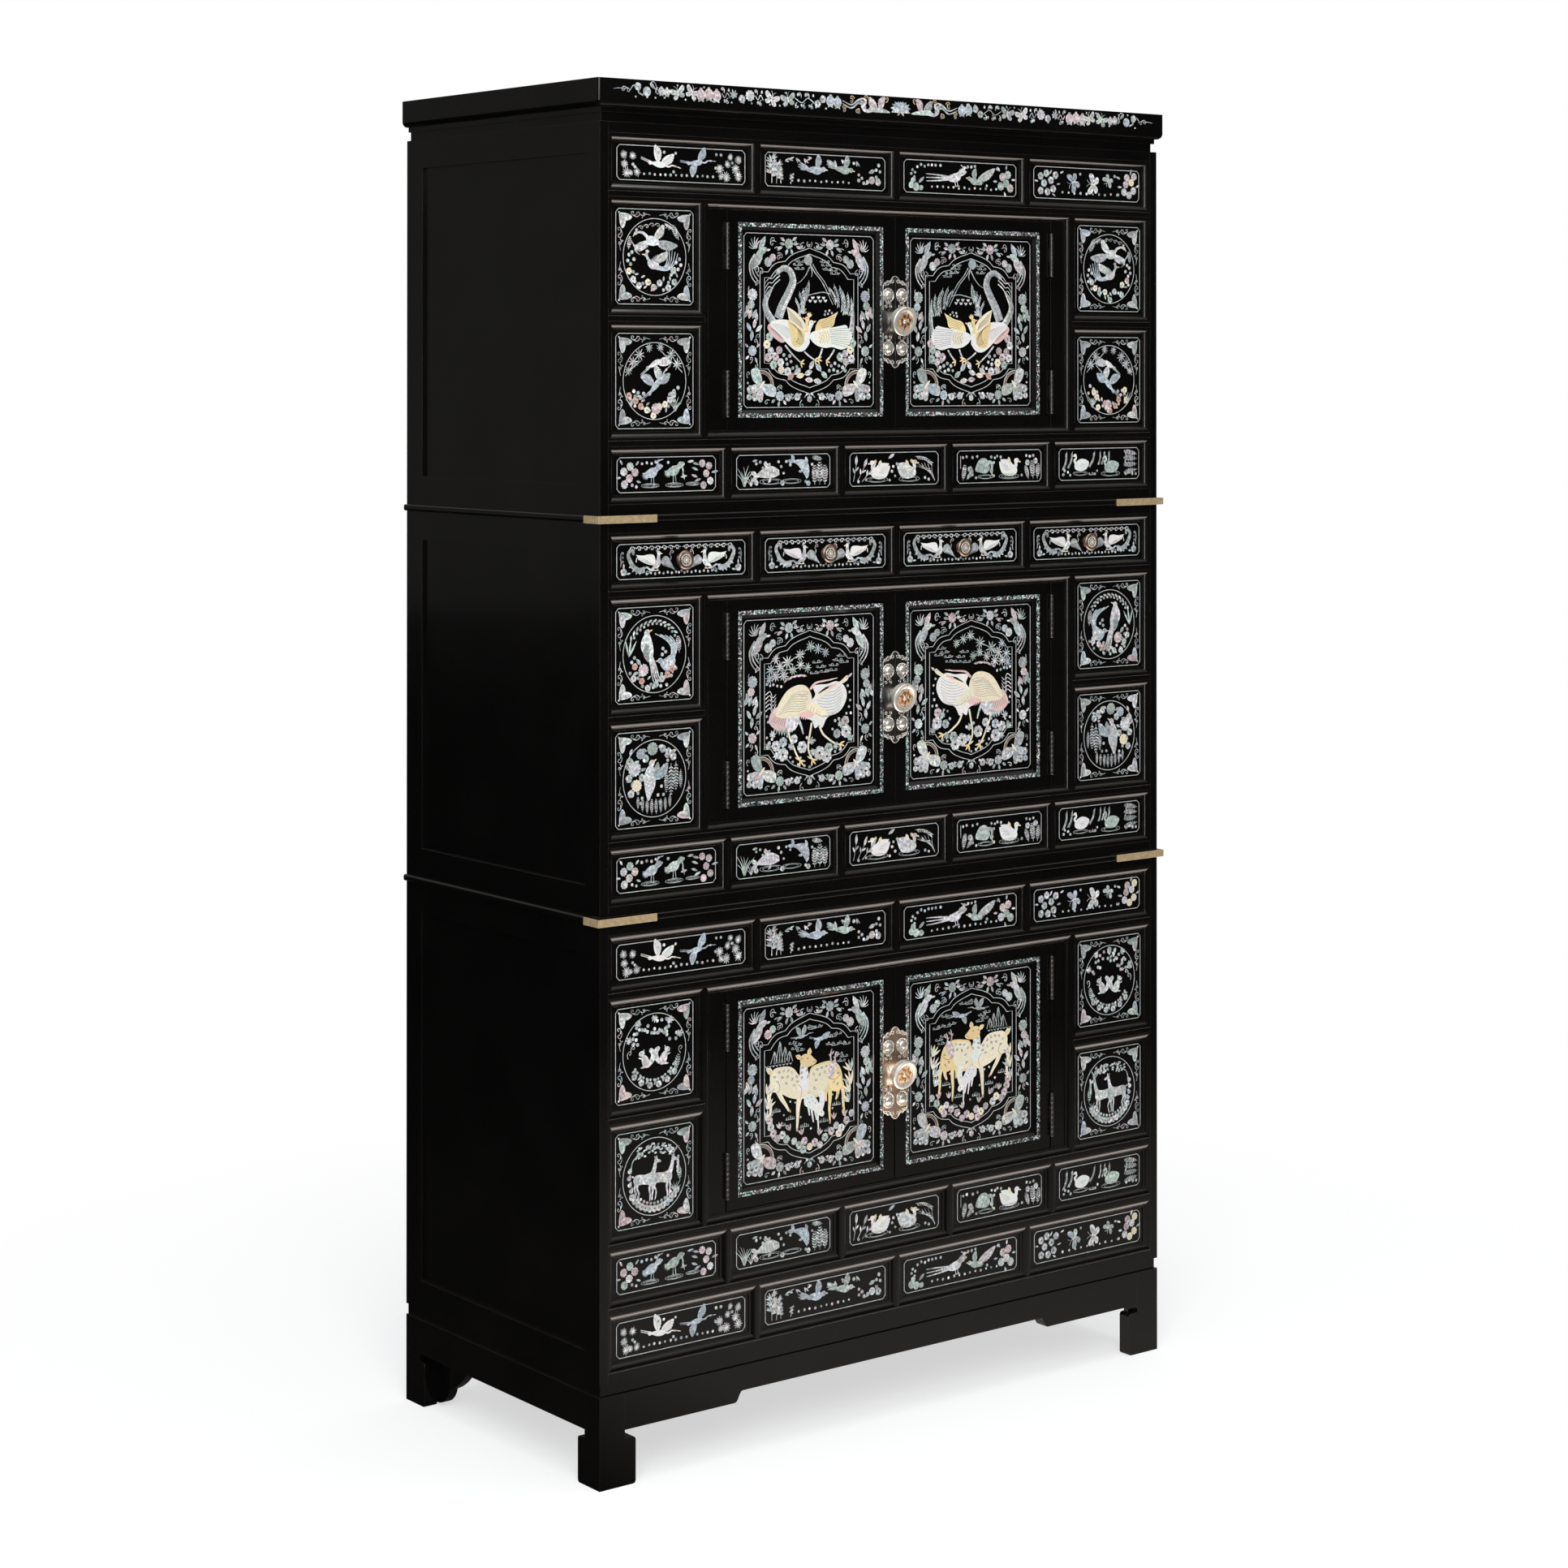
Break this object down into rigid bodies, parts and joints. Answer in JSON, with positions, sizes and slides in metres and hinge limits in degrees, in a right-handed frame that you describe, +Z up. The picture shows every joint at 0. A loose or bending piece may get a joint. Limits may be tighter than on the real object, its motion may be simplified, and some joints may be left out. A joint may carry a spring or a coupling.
{
  "type": "three-tier lacquered chest",
  "caption": "Tall Korean lacquered chest: stacked cases on a footed stand, mother-of-pearl panels, paired doors with split round pulls, a row of small drawers and a cornice",
  "frame": {"origin": "centre of the bounding box's footprint, on the floor", "axes": "X to the right along the front, Y to the back, Z up; the doors face -Y"},
  "size_m": [0.914, 0.4526, 1.645],
  "materials": {
    "black_lacquer": "gloss black lacquer",
    "inlaid_lacquer": "gloss black lacquer with mother-of-pearl inlay",
    "drawer_wood": "plain planed wood",
    "aged_brass": "aged, softly polished",
    "bronze_pull": "dark bronze, satin",
    "dark_hinge_metal": "darkened, satin"
  },
  "bodies": {
    "chest": {"stand_feet": "black_lacquer", "stand_aprons": "black_lacquer", "stand_top": "black_lacquer", "bottom_side_frames": "black_lacquer", "bottom_panels": "black_lacquer", "bottom_boards": "black_lacquer", "bottom_face_frame": "black_lacquer", "bottom_fixed_panels": "inlaid_lacquer", "bottom_mouldings": "black_lacquer", "middle_side_frames": "black_lacquer", "middle_panels": "black_lacquer", "middle_boards": "black_lacquer", "middle_face_frame": "black_lacquer", "middle_fixed_panels": "inlaid_lacquer", "middle_mouldings": "black_lacquer", "top_side_frames": "black_lacquer", "top_panels": "black_lacquer", "top_boards": "black_lacquer", "top_face_frame": "black_lacquer", "top_fixed_panels": "inlaid_lacquer", "top_mouldings": "black_lacquer", "cornice": "black_lacquer", "corner_plates": "aged_brass", "hinge_fixed_leaves": "dark_hinge_metal"},
    "door_bottom_left": {"door_bottom_left_frame": "inlaid_lacquer", "door_bottom_left_panel": "inlaid_lacquer", "door_bottom_left_hinges": "dark_hinge_metal", "door_bottom_left_lock": "aged_brass"},
    "door_bottom_right": {"door_bottom_right_frame": "inlaid_lacquer", "door_bottom_right_panel": "inlaid_lacquer", "door_bottom_right_hinges": "dark_hinge_metal", "door_bottom_right_lock": "aged_brass"},
    "door_middle_left": {"door_middle_left_frame": "inlaid_lacquer", "door_middle_left_panel": "inlaid_lacquer", "door_middle_left_hinges": "dark_hinge_metal", "door_middle_left_lock": "aged_brass"},
    "door_middle_right": {"door_middle_right_frame": "inlaid_lacquer", "door_middle_right_panel": "inlaid_lacquer", "door_middle_right_hinges": "dark_hinge_metal", "door_middle_right_lock": "aged_brass"},
    "door_top_left": {"door_top_left_frame": "inlaid_lacquer", "door_top_left_panel": "inlaid_lacquer", "door_top_left_hinges": "dark_hinge_metal", "door_top_left_lock": "aged_brass"},
    "door_top_right": {"door_top_right_frame": "inlaid_lacquer", "door_top_right_panel": "inlaid_lacquer", "door_top_right_hinges": "dark_hinge_metal", "door_top_right_lock": "aged_brass"},
    "drawer_1": {"drawer_1_front": "inlaid_lacquer", "drawer_1_tray": "drawer_wood", "drawer_1_pull": "bronze_pull"},
    "drawer_2": {"drawer_2_front": "inlaid_lacquer", "drawer_2_tray": "drawer_wood", "drawer_2_pull": "bronze_pull"},
    "drawer_3": {"drawer_3_front": "inlaid_lacquer", "drawer_3_tray": "drawer_wood", "drawer_3_pull": "bronze_pull"},
    "drawer_4": {"drawer_4_front": "inlaid_lacquer", "drawer_4_tray": "drawer_wood", "drawer_4_pull": "bronze_pull"}
  },
  "joints": [
    {"name": "door_bottom_left_hinge", "type": "hinge", "parent": "chest", "child": "door_bottom_left", "pos_m": [-0.2628, -0.20328, 0.4265], "axis": [0, 0, -1], "range_deg": [0, 110]},
    {"name": "door_bottom_right_hinge", "type": "hinge", "parent": "chest", "child": "door_bottom_right", "pos_m": [0.2628, -0.20328, 0.4265], "axis": [0, 0, 1], "range_deg": [0, 110]},
    {"name": "door_middle_left_hinge", "type": "hinge", "parent": "chest", "child": "door_middle_left", "pos_m": [-0.2628, -0.20328, 0.8955], "axis": [0, 0, -1], "range_deg": [0, 110]},
    {"name": "door_middle_right_hinge", "type": "hinge", "parent": "chest", "child": "door_middle_right", "pos_m": [0.2628, -0.20328, 0.8955], "axis": [0, 0, 1], "range_deg": [0, 110]},
    {"name": "door_top_left_hinge", "type": "hinge", "parent": "chest", "child": "door_top_left", "pos_m": [-0.2628, -0.20328, 1.3645], "axis": [0, 0, -1], "range_deg": [0, 110]},
    {"name": "door_top_right_hinge", "type": "hinge", "parent": "chest", "child": "door_top_right", "pos_m": [0.2628, -0.20328, 1.3645], "axis": [0, 0, 1], "range_deg": [0, 110]},
    {"name": "drawer_1_slide", "type": "slide", "parent": "chest", "child": "drawer_1", "axis": [0, -1, 0], "range_m": [0, 0.25]},
    {"name": "drawer_2_slide", "type": "slide", "parent": "chest", "child": "drawer_2", "axis": [0, -1, 0], "range_m": [0, 0.25]},
    {"name": "drawer_3_slide", "type": "slide", "parent": "chest", "child": "drawer_3", "axis": [0, -1, 0], "range_m": [0, 0.25]},
    {"name": "drawer_4_slide", "type": "slide", "parent": "chest", "child": "drawer_4", "axis": [0, -1, 0], "range_m": [0, 0.25]}
  ]
}
